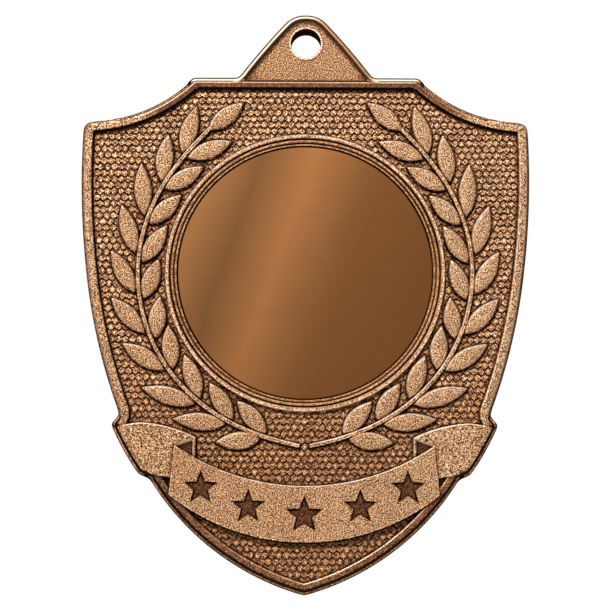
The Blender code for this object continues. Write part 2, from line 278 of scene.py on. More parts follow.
def resampled(loop, step):
    """The closed loop with evenly spaced points."""
    closed = np.vstack([loop, loop[:1]])
    lengths = np.concatenate([[0], np.cumsum(np.linalg.norm(np.diff(closed, axis=0), axis=1))])
    count = max(8, round(lengths[-1] / step))
    at = np.arange(count) / count * lengths[-1]
    return np.column_stack([np.interp(at, lengths, closed[:, k]) for k in (0, 1)])


def inward(loop):
    """Unit vectors that point into a clockwise loop."""
    along = np.roll(loop, -1, axis=0) - np.roll(loop, 1, axis=0)
    normal = np.column_stack([along[:, 1], -along[:, 0]])
    return normal / np.linalg.norm(normal, axis=1)[:, None]


def moved(loop, distance):
    """The clockwise loop moved inward, point by point."""
    return loop + inward(loop) * distance


def inset(loop, distance, step=None):
    """The clockwise loop moved inward and mitred, without the points that would fold over at its corners."""
    before = loop - np.roll(loop, 1, axis=0)
    after = np.roll(loop, -1, axis=0) - loop
    turned_in = [np.column_stack([v[:, 1], -v[:, 0]]) for v in (before, after)]
    normals = [v / np.linalg.norm(v, axis=1)[:, None] for v in turned_in]
    mitre = normals[0] + normals[1]
    mitre /= np.linalg.norm(mitre, axis=1)[:, None]
    shifted = loop + mitre * distance / np.sum(mitre * normals[1], axis=1)[:, None]
    shifted = shifted[np.abs(signed_distance(shifted, loop)) > abs(distance) - NEAR]
    return resampled_corners(shifted, step) if step else shifted


def resampled_corners(loop, step):
    """The closed loop with points added along its long sides, and every corner kept."""
    pieces = [arc(a, b, 0.0, step) for a, b in zip(loop, np.roll(loop, -1, axis=0))]
    return np.vstack(pieces)


def signed_distance(points, loop):
    """Distance in millimetres from each point to the closed loop, positive inside it."""
    return distance_and_lean(points, loop)[0]


def distance_and_lean(points, loop):
    """Signed distance to the loop, and its lean: 1 where its nearest point is straight above, -1 if below."""
    x, z = points[:, 0], points[:, 1]
    nearest = np.full(len(points), np.inf)
    rise = np.zeros(len(points))
    inside = np.zeros(len(points), bool)
    for (ax, az), (bx, bz) in zip(loop, np.roll(loop, -1, axis=0)):
        dx, dz = bx - ax, bz - az
        px, pz = x - ax, z - az
        t = np.clip((px * dx + pz * dz) / (dx * dx + dz * dz + 1e-18), 0, 1)
        up = t * dz - pz
        gap = (px - t * dx) ** 2 + up * up
        closer = gap < nearest
        nearest[closer] = gap[closer]
        rise[closer] = up[closer]
        if dz:
            inside ^= ((az > z) != (bz > z)) & (px < dx * pz / dz)
    distance = np.sqrt(nearest)
    return np.where(inside, 1, -1) * distance, rise / np.maximum(distance, 1e-6)


def silhouette():
    """Outline of the whole casting: tab, shield and the two ribbon tails that stand past its sides."""
    return softened(mirrored_outline(TAB_HALF + side_corners() + TAIL_EDGE + [LOWER_START], TIP))


def shield_outline():
    """Outline of the shield alone, with the tab and the ribbon tails left off."""
    half = [(0.0, SHIELD_TOP, 0.0)] + side_corners() + [(*TAIL_SHOULDER, 0.0), UNDER_TAIL, LOWER_START]
    return softened(mirrored_outline(half, TIP))


def side_corners():
    """The stretches of the right half from the shoulder down to the notch above the tail."""
    corners = [SHOULDER_START, (CORNER[0] - CORNER_ROUND, CORNER[1], CORNER_SAGITTA)]
    corners.append((CORNER[0], CORNER[1] - CORNER_ROUND, SIDE_SAGITTAS[0]))
    return corners + [(*SIDE_MIDDLE, SIDE_SAGITTAS[1]), (*NOTCH, 0.0)]


def circle(radius, count, centre=(0.0, 0.0)):
    """Clockwise ring of points."""
    angle = np.arange(count) * 2 * math.pi / count
    return np.column_stack([centre[0] + radius * np.sin(angle), centre[1] + radius * np.cos(angle)])


# --- Laurel ---
def stem_point(degrees, side):
    """Point of a stem, by the angle from straight below; both ends swing out a little."""
    middle = STEM_END_DEG / 2
    radius = STEM_RADIUS + STEM_FLARE * ((degrees - middle) / middle) ** 6
    angle = math.radians(degrees)
    return np.array([side * radius * math.sin(angle), -radius * math.cos(angle)])


def stem_direction(degrees, side):
    """Unit vector along a stem, towards its tip."""
    along = stem_point(degrees + 0.5, side) - stem_point(degrees - 0.5, side)
    return along / np.linalg.norm(along)


def turned(direction, degrees, side):
    """Direction turned away from the insert by degrees, for the branch on that side."""
    angle = math.radians(degrees) * side
    cos, sin = math.cos(angle), math.sin(angle)
    return np.array([direction[0] * cos + direction[1] * sin, direction[1] * cos - direction[0] * sin])


def leaf_outline(base, direction, length):
    """Clockwise outline of a leaf that is pointed at both ends, fullest a little before its middle."""
    across = np.array([-direction[1], direction[0]])
    along = (1 - np.cos(np.linspace(0, math.pi, 19))) / 2
    half_width = LEAF_WIDTH / 2 * np.sin(math.pi * along**0.9) ** 0.85
    left = base + np.outer(along * length, direction) + np.outer(half_width, across)
    right = base + np.outer(along * length, direction) - np.outer(half_width, across)
    return np.vstack([left, right[-2:0:-1]])


def leaves():
    """Outlines of every leaf of both branches."""
    outlines = []
    for side in (-1, 1):
        for row, splay in ((OUTER_LEAVES, OUTER_SPLAY_DEG), (INNER_LEAVES, INNER_SPLAY_DEG)):
            for degrees, length in row:
                start = stem_point(degrees, side)
                start = start + start / np.linalg.norm(start) * math.copysign(LEAF_OFFSET, splay)
                direction = turned(stem_direction(degrees, side), splay, side)
                outlines.append(leaf_outline(start, direction, length))
        direction = turned(stem_direction(STEM_END_DEG, side), END_LEAF_SPLAY_DEG, side)
        start = stem_point(STEM_END_DEG, side) - direction * END_LEAF_OVERLAP
        outlines.append(leaf_outline(start, direction, END_LEAF_LENGTH))
    return outlines


def stem_outline(side):
    """Clockwise outline of a stem."""
    degrees = np.linspace(STEM_START_DEG, STEM_END_DEG + 1, STEM_POINTS)
    line = np.array([stem_point(d, side) for d in degrees])
    across = np.array([stem_direction(d, side) for d in degrees])[:, ::-1] * (-1, 1)
    half = STEM_WIDTH / 2
    return np.vstack([line + across * half, (line - across * half)[::-1]])


# --- Ribbon ---
def bowl_curve(half_width, low, radius):
    """Points along a hanging circular curve, from left to right."""
    x = np.linspace(-half_width, half_width, BOWL_POINTS)
    return np.column_stack([x, low + radius - np.sqrt(radius * radius - x * x)])


def panel_outline():
    """Clockwise outline of the banner's front panel."""
    top = bowl_curve(PANEL_TOP_HALF, PANEL_TOP_LOW, PANEL_TOP_RADIUS)
    bottom = bowl_curve(PANEL_BOTTOM_HALF, PANEL_BOTTOM_LOW, PANEL_BOTTOM_RADIUS)
    return np.vstack([top, bottom[::-1]])


def star_outline(x, z, radius):
    """Clockwise outline of a five-pointed star."""
    reach = np.where(np.arange(10) % 2 == 0, radius, radius * STAR_WAIST)
    angle = np.arange(10) * math.pi / 5
    return np.column_stack([x + reach * np.sin(angle), z + reach * np.cos(angle)])


def on_fold_highlight(points):
    """Whether points lie on the painted highlight along a tail's edge, at the top of its fold."""
    (start_x, start_z), (end_x, end_z) = FOLD_LIP
    along = (np.abs(points[:, 0]) - start_x) / (end_x - start_x)
    above = points[:, 1] - start_z - along * (end_z - start_z)
    return (np.abs(along - 0.5) < 0.52) & (np.abs(above - 0.04) < 0.06)


def tail_outline(side):
    """Clockwise outline of a ribbon tail; its outer end runs past the silhouette, which trims it.

    The notch in it, above the panel's end, is where the ribbon turns behind the panel.
    """
    inner_top = arc((10.5, -16.25), (16.0, -14.8), 0.3, 0.4)
    outer_top = arc((16.0, -14.8), (19.6, -15.7), 0.15, 0.4)
    outer = [(19.6, -15.7), (16.6, -21.0)]
    bottom = [(15.3, -19.8), (14.3, -20.0), (13.1, -20.25), (12.4, -20.25)]
    turn = [(12.4, -17.25), FOLD_LIP[1], FOLD_LIP[0], (10.85, -18.3), (10.5, -18.3)]
    return clockwise(np.vstack([inner_top, outer_top, outer, bottom, turn]) * (side, 1))


def fold_outline(side):
    """The sunk inside of the fold where a tail turns behind the panel."""
    return clockwise(np.array([(12.6, -17.0), (10.7, -16.3), (10.7, -18.5), (12.6, -18.5)]) * (side, 1))


def clockwise(loop):
    """The loop, turned round if it runs the other way."""
    x, z = loop[:, 0], loop[:, 1]
    area = np.sum(x * np.roll(z, -1) - np.roll(x, -1) * z)
    return loop if area < 0 else loop[::-1]


# --- Relief ---
OUTLINE = silhouette()
SHIELD = shield_outline()
SHIELD_FIELD = inset(SHIELD, RIM_WIDTH)
HOLE_CENTRE = (0.0, HOLE_RISE)


class Raised:
    """A raised piece of the relief: an outline, a steep wall, a bevelled edge and a flat or crowned top.

    lie changes the height from point to point, and spine is a line of mesh points along the middle.
    """

    def __init__(self, loop, top, wall=0.07, edge=0.1, crown=0.0, lie=None, spine=None):
        self.loop = clockwise(loop)
        self.top = top
        self.wall = wall
        self.edge = edge
        self.crown = crown
        self.lie = lie
        self.spine = spine

    def height(self, points, inside):
        """Height at some points, by their distance inside the outline."""
        drop = EDGE_SLOPE * self.edge
        on_wall = np.clip(inside / self.wall, 0, 1) * (self.top - drop - WALL_FOOT)
        on_edge = drop * np.clip((inside - self.wall) / self.edge, 0, 1)
        up = np.clip((inside - self.wall) / CROWN_RUN, 0, 1)
        height = WALL_FOOT + on_wall + on_edge + self.crown * (2 * up - up * up)
        return height + self.lie(points) * np.clip(inside / self.wall, 0, 1) if self.lie else height

    def lines(self):
        """The mesh's lines here: the wall's foot and top, the bevel's top, one further in, the spine."""
        bevel_top = self.wall + self.edge
        insets = [0.0, self.wall, bevel_top, bevel_top + 0.12]
        if self.crown:
            insets[-1] = self.wall + CROWN_RUN / 2
        if self.spine is not None:
            insets.pop()
        lines = [inset(self.loop, d, LINE_STEP) for d in insets]
        return lines if self.spine is None else lines + [self.spine]


class Relief:
    """The casting's front at some points: its height, and the distances to features that the finish follows.

    foot is the distance to the bottom of the nearest step, counted shorter below a raised piece for its
    painted shadow, edge that to the nearest raised edge, and groove that to the nearest step between scales.
    calm is 0 where the metal is grainy.
    """

    def __init__(self, points):
        self.points = points
        rise, self.groove, self.edge = scales(points)
        self.height = FIELD + rise
        self.foot = np.full(len(points), REACH)
        self.calm = np.zeros(len(points))
        self.to_outline = signed_distance(points, OUTLINE)
        self.to_shield = signed_distance(points, SHIELD)
        self.along_top = np.clip(points[:, 1] - CALM_RIM_FROM, 0, 1)

    def lay(self, new, inside, lean, piece):
        """Puts a raised surface where it is the highest; inside and lean are those of its outline."""
        touching = 1e-4
        over = (inside > touching) & (new >= self.height)
        self.height = np.where(over, new, self.height)
        self.groove = np.where(over, REACH, self.groove)
        self.edge = np.where(over, np.maximum(inside - piece.wall - piece.edge, 0), self.edge)
        self.calm = np.where(over, 0.0, self.calm)
        own_foot = np.where(inside < piece.wall + NEAR, inside, REACH)
        shallow = np.clip(1 - (piece.top - self.height) / SHALLOW_STEP, 0, 1)
        # Beside the piece, its foot counts nearer below it than above it, for a painted shadow there
        to_step = shadowed(-inside, lean) + SHALLOW_RELIEF * shallow
        beside = np.where(inside <= touching, np.minimum(self.foot, to_step), self.foot)
        self.foot = np.where(over, own_foot, beside)

    def lay_piece(self, piece):
        """Lays one raised piece, looking only at the points near it."""
        low, high = piece.loop.min(axis=0) - REACH, piece.loop.max(axis=0) + REACH
        near = np.all((self.points > low) & (self.points < high), axis=1)
        inside, lean = np.full(len(self.points), -REACH), np.zeros(len(self.points))
        inside[near], lean[near] = distance_and_lean(self.points[near], piece.loop)
        self.lay(piece.height(self.points, inside), inside, lean, piece)

    def lay_bezel(self):
        """The lip and two beads round the insert, and the recess that they surround."""
        radius = np.hypot(*self.points.T)
        radii, heights = np.array(BEZEL).T
        in_bezel = radius < radii[-1]
        self.height = np.where(in_bezel, np.interp(radius, radii, heights), self.height)
        self.groove = np.where(in_bezel, REACH, self.groove)
        to_edge = np.min([np.abs(radius - r) for r, h in BEZEL if h in BEZEL_TOPS], axis=0)
        to_foot = np.min([np.abs(radius - r) for r, h in BEZEL if h in BEZEL_GROOVES], axis=0)
        self.edge = np.where(in_bezel, 0.6 * to_edge, self.edge)
        self.calm = np.where(in_bezel, POLISHED * 0.5, self.calm)
        # Outside the outer bead the field gets a painted shadow, which reaches further below the bezel than
        # above it
        outside = shadowed(np.abs(radius - radii[-1]), -self.points[:, 1] / np.maximum(radius, 1))
        self.foot = np.where(in_bezel, 1.5 * to_foot, np.minimum(self.foot, outside))

    def lay_rim(self):
        """The shield's rim, up to its drafted outer wall."""
        inside, lean = distance_and_lean(self.points, SHIELD_FIELD)
        rim = Raised(SHIELD_FIELD, RIM)
        self.lay(rim.height(self.points, -inside), -inside, lean, rim)
        # Towards the bottom the rim is smoother and darker; the darkening is painted shade
        along_bottom = np.clip((NOTCH[1] - self.points[:, 1]) / BOTTOM_CALM_RUN, 0, 1)
        calm = np.maximum(TOP_CALM * self.along_top, BOTTOM_CALM * along_bottom)
        self.calm = np.where(inside < 0, calm, self.calm)

    def trim(self, to_side):
        """Cuts the side's ledge and drafted wall; to_side is the distance inside the outline.

        Painted shade darkens the wall at its foot all round, and all the way up above and below the sides; at
        the sides and on the ledge it stays bright. The front's edge is bevelled, most at the top, where the
        bevel takes a painted highlight.
        """
        limit = side_limit(to_side, BEVEL_DROP + (TOP_BEVEL_DROP - BEVEL_DROP) * self.along_top)
        at_limit = limit < self.height + 0.05
        self.height = np.minimum(self.height, limit)
        self.groove = np.where(at_limit, REACH, self.groove)
        at_side = (self.along_top == 0) & (self.points[:, 1] > NOTCH[1])
        past_round = to_side > EDGE_ROUND + NEAR
        ledge = past_round & (to_side < LEDGE_WIDTH + NEAR)
        bevel = (to_side > SIDE_TOP - NEAR) & (at_side | (to_side > SIDE_TOP + DARK_EDGE + NEAR))
        bright = ledge | bevel | (at_side & past_round)
        side_foot = np.where(bright, np.minimum(self.foot, to_side), ALWAYS_DARK)
        self.foot = np.where(at_limit, side_foot, self.foot)
        on_wall = to_side < SIDE_TOP - NEAR
        worn = (on_wall & ~at_side) | (self.along_top > 0)
        past_bevel = np.maximum(to_side - SIDE_TOP - BEVEL_WIDTH, 0)
        self.edge = np.where(at_limit, np.where(worn, past_bevel, REACH), self.edge)
        self.calm = np.where(at_limit & on_wall & ~at_side, POLISHED, self.calm)

    def lay_tab(self):
        """The tab's sunk face and smooth bevelled rim, which end at the shield's rim."""
        slope_top, slope_foot = TAB_SLOPE
        up = np.clip((slope_foot - self.to_outline) / (slope_foot - slope_top), 0, 1)
        face = TAB_FACE + (TAB_RIM - TAB_FACE) * up * up * (3 - 2 * up)
        bevel_heights = [SIDE_HEIGHT, TAB_BEVEL_FOOT, TAB_RIM]
        limit = np.interp(self.to_outline, [0, EDGE_ROUND, TAB_BEVEL], bevel_heights)
        tab = np.minimum(face, limit)
        on_tab = (self.points[:, 1] > SHIELD_TOP - RIM_WIDTH / 2) & (tab > self.height)
        self.height = np.where(on_tab, tab, self.height)
        self.groove = np.where(on_tab, TAB_GROOVE, self.groove)
        # A band along the tab's outer edge is painted dark, as painted shade
        tab_foot = np.where(self.to_outline < TAB_DARK_EDGE + NEAR, ALWAYS_DARK, REACH)
        self.foot = np.where(on_tab, tab_foot, self.foot)
        self.edge = np.where(on_tab, np.maximum(self.to_outline - TAB_BEVEL, 0), self.edge)
        calm = np.interp(self.to_outline, TAB_CALM_EDGE, (TAB_CALM, 0))
        self.calm = np.where(on_tab, calm, self.calm)

    def cut_stars(self):
        """The stars, sunk in the panel, with worn edges that also take painted highlights."""
        margin = 0.3
        for loop in STAR_LOOPS:
            low, high = loop.min(axis=0) - margin, loop.max(axis=0) + margin
            near = np.all((self.points > low) & (self.points < high), axis=1)
            inside = signed_distance(self.points[near], loop)
            sunk = np.interp(inside, [0, STAR_WALL], [PANEL, STAR_FLOOR])
            self.height[near] = np.minimum(self.height[near], sunk)
            in_star = inside > STAR_WALL - NEAR
            self.foot[near] = np.where(inside > -NEAR, np.abs(inside - STAR_WALL), self.foot[near])
            self.groove[near] = np.where(in_star, SUNK_GROOVE, self.groove[near])
            self.edge[near] = np.where(in_star, REACH, np.minimum(self.edge[near], 0.03 + np.abs(inside)))

    def lay_hole_lip(self):
        """The polished lip round the hole, and painted shade on the edge of the bore."""
        from_hole = np.hypot(self.points[:, 0], self.points[:, 1] - HOLE_RISE) - HOLE_RADIUS
        offsets, heights = np.array(HOLE_LIP).T
        self.height = np.maximum(self.height, np.interp(from_hole, offsets, heights))
        self.edge = np.minimum(self.edge, np.abs(from_hole - offsets[1:3].mean()))
        self.foot = np.where(from_hole < NEAR, ALWAYS_DARK, self.foot)
        on_lip = (from_hole > NEAR) & (from_hole < offsets[-1] - NEAR)
        self.calm = np.where(on_lip, 1.5 * POLISHED, self.calm)


def shadowed(distance, lean):
    """Distance outside a raised piece as its shadow counts it: shorter below the piece than above it."""
    return distance * (1 - SHADOW_LEAN * lean)


def side_limit(to_side, drop):
    """Highest that the casting may be at a distance inside its outline, its front edge bevelled by drop."""
    ledge = SIDE_HEIGHT - EDGE_ROUND / 2 * np.clip(1 - to_side / EDGE_ROUND, 0, 1) ** 2
    wall = SIDE_HEIGHT + (to_side - LEDGE_WIDTH) * WALL_SLOPE
    past_bevel = to_side - SIDE_TOP - BEVEL_WIDTH
    front = RIM + drop * np.clip(past_bevel / BEVEL_WIDTH, -1, 0) + WALL_SLOPE * np.maximum(past_bevel, 0)
    return np.where(to_side < 0, 0, np.where(to_side < SIDE_TOP, np.maximum(ledge, wall) - drop, front))


def front_relief(points):
    """The whole front at some points."""
    relief = Relief(points)
    for piece in LAUREL:
        relief.lay_piece(piece)
    relief.lay_bezel()
    relief.lay_rim()
    relief.trim(relief.to_shield)
    for piece in FOLDS:
        relief.lay_piece(piece)
        # The fold's floor is darkened as painted shade
        relief.groove = np.where(relief.height == FOLD, SUNK_GROOVE, relief.groove)
    for piece in RIBBON:
        relief.lay_piece(piece)
    # A painted highlight along the top edge of each fold
    on_lip = on_fold_highlight(points)
    relief.foot = np.where(on_lip, REACH, relief.foot)
    relief.calm = np.where(on_lip, 2 * POLISHED, relief.calm)
    relief.trim(relief.to_outline)
    relief.cut_stars()
    relief.lay_tab()
    relief.lay_hole_lip()
    return relief


def tail_lie(points):
    """The ribbon's tails sink to the rim's height towards their outer ends."""
    return (RIM - TAIL) * np.clip((np.abs(points[:, 0]) - TAIL_SINKS_FROM) / TAIL_SINK_RUN, 0, 1) ** 2


def make_laurel():
    """Every leaf and both stems."""
    pieces = [Raised(outline, LEAF_EDGE, edge=0.13, crown=LEAF_CREST - LEAF_EDGE) for outline in leaves()]
    for side in (-1, 1):
        degrees = np.linspace(STEM_START_DEG, STEM_END_DEG, STEM_POINTS)
        spine = np.array([stem_point(d, side) for d in degrees])
        pieces.append(Raised(stem_outline(side), STEM, edge=0.07, spine=spine))
    return pieces


LAUREL = make_laurel()
RIBBON = [Raised(tail_outline(side), TAIL, lie=tail_lie) for side in (-1, 1)]
RIBBON.append(Raised(panel_outline(), PANEL, edge=0.06))
FOLDS = [Raised(fold_outline(side), FOLD) for side in (-1, 1)]
STAR_LOOPS = [star_outline(side * x, z, r) for x, z, r in STARS for side in ((-1, 1) if x else (1,))]


# --- Field of scales ---
# Two random numbers move each corner of the scales, and the third is spare
SCALE_RANDOM = np.random.default_rng(SEED).normal(size=(SCALE_ROWS, SCALE_HALF_COLUMNS, 3)).clip(-2, 2)


def scale_corner(row, half_column):
    """Corner of a row's zigzag lower edge: a scale's tip at an even count, a notch at an odd one."""
    random = SCALE_RANDOM[row % SCALE_ROWS, half_column % SCALE_HALF_COLUMNS]
    x = (half_column + row % 2) * SCALE_PITCH / 2 + random[..., 0] * SCALE_JITTER
    z = row * SCALE_ROW - SCALE_POINT * (half_column % 2 == 0) + random[..., 1] * SCALE_JITTER
    return x, z


def scale_edge(row, x):
    """The z of a row's lower edge at x, and how far x is from the scale's tip, which is 1 at a notch."""
    half_column = np.floor(x / (SCALE_PITCH / 2)).astype(int) - row % 2
    start_x, start_z = scale_corner(row, half_column)
    end_x, end_z = scale_corner(row, half_column + 1)
    along = (x - start_x) / (end_x - start_x)
    aside = np.where(half_column % 2 == 0, along, 1 - along)
    return start_z + (end_z - start_z) * along, np.clip(aside, 0, 1)


def scale_height(above_edge, aside):
    """Height of a scale, highest at its tip, by the distance above its lower edge and beside its middle."""
    return (SCALE_RISE - SCALE_FALL * above_edge) * (1 - SCALE_ROUND * aside**2)


def scales(points):
    """Height of the scales above the field, and the distances to the feet and lips of their lower edges."""
    x, z = points.T
    row = np.floor(z / SCALE_ROW).astype(int)
    row = row + (z >= scale_edge(row + 1, x)[0] - 1e-6)
    row = row - (z < scale_edge(row, x)[0] - 1e-6)
    own_edge, aside = scale_edge(row, x)
    upper_edge, upper_aside = scale_edge(row + 1, x)
    above_own, below_upper = z - own_edge, upper_edge - z
    up_wall = 1 - np.clip(below_upper / SCALE_STEP, 0, 1)
    own = scale_height(above_own, aside)
    height = own + (scale_height(0.0, upper_aside) - own) * up_wall
    groove = np.minimum(np.maximum(below_upper - SCALE_STEP, 0), above_own + SCALE_LIP)
    return height, groove, 0.5 * above_own + 0.07 * aside**2


def scale_points():
    """Points of the mesh over the whole field: along the scales' lips and feet, and on their tops."""
    rows = np.arange(round(TIP[1] / SCALE_ROW), round(SHIELD_TOP / SCALE_ROW) + 1)
    last_column = round(CORNER[0] / SCALE_PITCH) + 2
    row, column = (grid.ravel() for grid in np.meshgrid(rows, np.arange(-last_column, last_column + 1)))
    corners = [np.column_stack(scale_corner(row, 2 * column + side)) for side in (-1, 0, 1)]
    left, tip, right = corners
    lips = [tip, right, (left + tip) / 2, (tip + right) / 2]
    feet = [lip - (0, SCALE_STEP) for lip in lips]
    tops = [lip + (0, 0.14) for lip in lips]
    tops += [tip + (0, 0.4), tip + (0, 0.68), (left + tip) / 2 + (0, 0.36), (tip + right) / 2 + (0, 0.36)]
    return np.vstack(lips + feet + tops)


def flat_points():
    """A staggered lattice of points over the whole front."""
    x, z = np.meshgrid(np.arange(*FLAT_X, FLAT_STEP), np.arange(*FLAT_Z, FLAT_ROW))
    x = x + (np.arange(x.shape[0]) % 2 * FLAT_STEP / 2)[:, None]
    return np.column_stack([x.ravel(), z.ravel()])


def loose_points():
    """The front's mesh points that lie on no line: the scales', and a lattice over the smooth parts."""
    scaly, flat = scale_points(), flat_points()
    scaly = scaly[signed_distance(scaly, SHIELD_FIELD) > 0.05]
    flat = flat[signed_distance(flat, OUTLINE) > LEDGE_WIDTH]
    scaly, flat = (p[np.hypot(*p.T) > BEZEL[-1][0] + 0.05] for p in (scaly, flat))
    on_field, on_flat = front_relief(scaly), front_relief(flat)
    scaly = scaly[(on_field.groove < REACH) & (on_field.foot > 0.06)]
    clear = (on_flat.groove == REACH) & (on_flat.foot > 0.1) & (on_flat.edge > 0.1)
    return np.vstack([scaly, flat[clear]])


# --- Casting mesh ---
def front_lines():
    """Lines that the front's mesh follows, so that its steps and the changes of its finish are sharp."""
    steps = [EDGE_ROUND, EDGE_ROUND + 0.02, LEDGE_WIDTH, LEDGE_WIDTH + 0.02]
    past_wall = [-0.05, 0.0, DARK_EDGE, DARK_EDGE + 0.03, BEVEL_WIDTH, BEVEL_WIDTH + 0.1]
    lines = [inset(OUTLINE, d) for d in steps + [SIDE_TOP + d for d in past_wall]]
    round_tab = [inset(OUTLINE, d) for d in (TAB_BEVEL, TAB_CALM_EDGE[0], 0.85, TAB_SLOPE[1])]
    lines += [loop[loop[:, 1] > SHIELD_TOP + 0.4] for loop in round_tab]
    lines += [inset(OUTLINE, TAB_DARK_EDGE + d) for d in (0.0, 0.02)]
    under_tab = [LEDGE_WIDTH, SIDE_TOP, SIDE_TOP + DARK_EDGE, SIDE_TOP + BEVEL_WIDTH]
    for loop in (inset(SHIELD, d) for d in under_tab):
        lines.append(loop[(np.abs(loop[:, 0]) < TAB_HALF[-1][0] - 0.2) & (loop[:, 1] > 0)])
    lines += [SHIELD_FIELD] + [inset(SHIELD, RIM_WIDTH - d) for d in (0.07, 0.17, 0.27)]
    for piece in LAUREL + FOLDS + RIBBON:
        lines += piece.lines()
    lines += [circle(r, CIRCLE_POINTS) for r, _ in BEZEL]
    lines += [circle(HOLE_RADIUS + d, HOLE_POINTS, HOLE_CENTRE) for d, _ in HOLE_LIP[1:]]
    lines += [inset(clockwise(loop), d, LINE_STEP) for loop in STAR_LOOPS for d in (0.0, STAR_WALL, 0.25)]
    return [line[signed_distance(line, OUTLINE) > EDGE_ROUND / 2] for line in lines]


def triangulated(boundaries, lines, loose):
    """Triangles inside the first boundary loop and outside the others, that follow lines and loose points.

    Returns the points, the triangles, and the numbers of each boundary's points. A line isn't followed over a
    long gap in it, which is where a part was left out.
    """
    points, edges = [], []
    for loop in boundaries + lines:
        start = sum(len(p) for p in points)
        gaps = np.linalg.norm(np.roll(loop, -1, axis=0) - loop, axis=1)
        follows = [i for i in range(len(loop)) if gaps[i] < 4 * np.median(gaps) + 0.3]
        edges += [(start + i, start + (i + 1) % len(loop)) for i in follows]
        points.append(loop)
    points = np.vstack(points + [loose])
    found = delaunay_2d_cdt([Vector(p) for p in points], edges, [], 0, 1e-5)
    flat = np.array([tuple(v) for v in found[0]])
    triangles = np.array(found[2])
    place = {given: new for new, origins in enumerate(found[3]) for given in origins}
    middle = flat[triangles].mean(axis=1)
    inside = np.ones(len(middle), bool)
    for k, loop in enumerate(boundaries):
        inside &= (signed_distance(middle, loop) > 0) == (k == 0)
    starts = np.cumsum([0] + [len(loop) for loop in boundaries])
    rims = [[place[i] for i in range(a, b)] for a, b in zip(starts, starts[1:])]
    return flat, triangles[inside], rims


class MeshParts:
    """Vertices and faces that are gathered into one mesh, with the distances that the finish follows."""

    def __init__(self):
        self.vertices, self.faces = [], []
        self.distances = {"foot": [], "edge": [], "groove": [], "calm": []}
        self.count = 0

    def add(self, points, heights, foot=REACH, edge=REACH, groove=REACH, calm=0.0):
        """Adds vertices, and returns their numbers."""
        start = self.count
        self.vertices.append(world(points, heights))
        self.count += len(points)
        for name, values in (("foot", foot), ("edge", edge), ("groove", groove), ("calm", calm)):
            self.distances[name].append(np.broadcast_to(values, len(points)))
        return list(range(start, self.count))

    def strip(self, loop, next_loop):
        """Joins two loops of the same count with a strip of faces."""
        after = loop[1:] + loop[:1]
        next_after = next_loop[1:] + next_loop[:1]
        self.faces += list(zip(loop, after, next_after, next_loop))

    def build(self, name):
        """The finished object."""
        mesh = bpy.data.meshes.new(name)
        mesh.from_pydata(np.vstack(self.vertices).tolist(), [], self.faces)
        for key, values in self.distances.items():
            attribute = mesh.attributes.new(key, "FLOAT", "POINT")
            attribute.data.foreach_set("value", np.concatenate(values).astype(np.float32))
        mesh.shade_smooth()
        mesh.set_sharp_from_angle(angle=math.radians(SHARP_DEG))
        item = bpy.data.objects.new(name, mesh)
        bpy.context.scene.collection.objects.link(item)
        return item


def make_casting():
    """The whole casting as one closed mesh: relief front, stepped side, bore and sunk back."""
    parts = MeshParts()
    hole = circle(HOLE_RADIUS, HOLE_POINTS, HOLE_CENTRE)
    points, triangles, (outline_rim, hole_rim) = triangulated([OUTLINE, hole], front_lines(), loose_points())
    front = front_relief(points)
    parts.add(points, front.height, front.foot, front.edge, front.groove, front.calm)
    parts.faces += triangles.tolist()

    back_edges = [moved(OUTLINE, BACK_RUN + BACK_CHAMFER)]
    back_edges.append(circle(HOLE_RADIUS + EDGE_ROUND, HOLE_POINTS, HOLE_CENTRE))
    back_lines = [moved(SHIELD_FIELD, -0.12)]
    back_lines += [inset(SHIELD_FIELD, d) for d in (0.02, BACK_WALL, BACK_WALL + 0.5)]
    points, triangles, (back_rim, back_hole_rim) = triangulated(back_edges, back_lines, np.zeros((0, 2)))
    sunk = signed_distance(points, SHIELD_FIELD)
    heights = BACK_FIELD * np.clip(sunk / BACK_WALL, 0, 1)
    numbers = parts.add(points, heights, foot=np.abs(sunk - BACK_WALL), edge=np.abs(sunk))
    parts.faces += (triangles[:, ::-1] + numbers[0]).tolist()

    # Painted shade darkens the side from its front edge to the flange, fading towards the back
    flange = parts.add(OUTLINE, FLANGE_BACK, foot=0.06)
    lower = parts.add(moved(OUTLINE, BACK_RUN), BACK_CHAMFER, edge=0.05)
    back_rim = [numbers[i] for i in back_rim]
    for loop, next_loop in ((outline_rim, flange), (flange, lower), (lower, back_rim)):
        parts.strip(loop, next_loop)
    # The bore is painted dark, as painted shade
    upper_bore = parts.add(hole, HOLE_LIP[0][1] - 0.08, foot=0.0)
    lower_bore = parts.add(hole, EDGE_ROUND, foot=0.0)
    back_hole_rim = [numbers[i] for i in back_hole_rim]
    for loop, next_loop in ((upper_bore, hole_rim), (lower_bore, upper_bore), (back_hole_rim, lower_bore)):
        parts.strip(loop, next_loop)
    return parts.build("medal_casting")


def make_insert():
    """The round insert, its front edge rounded and its back edge chamfered."""
    parts = MeshParts()
    profile = [(INSERT_RADIUS - 0.02, INSERT_BACK), (INSERT_RADIUS, INSERT_BACK + 0.02)]
    for angle in np.linspace(0, math.pi / 2, 6):
        radius = INSERT_RADIUS - INSERT_ROUND * (1 - math.cos(angle))
        profile.append((radius, INSERT_FACE - INSERT_ROUND * (1 - math.sin(angle))))
    loops = [parts.add(circle(r, CIRCLE_POINTS), h) for r, h in profile]
    for loop, next_loop in zip(loops[1:], loops):
        parts.strip(loop, next_loop)
    parts.faces.append(tuple(loops[0]))
    parts.faces.append(tuple(loops[-1][::-1]))
    return parts.build("brushed_insert")


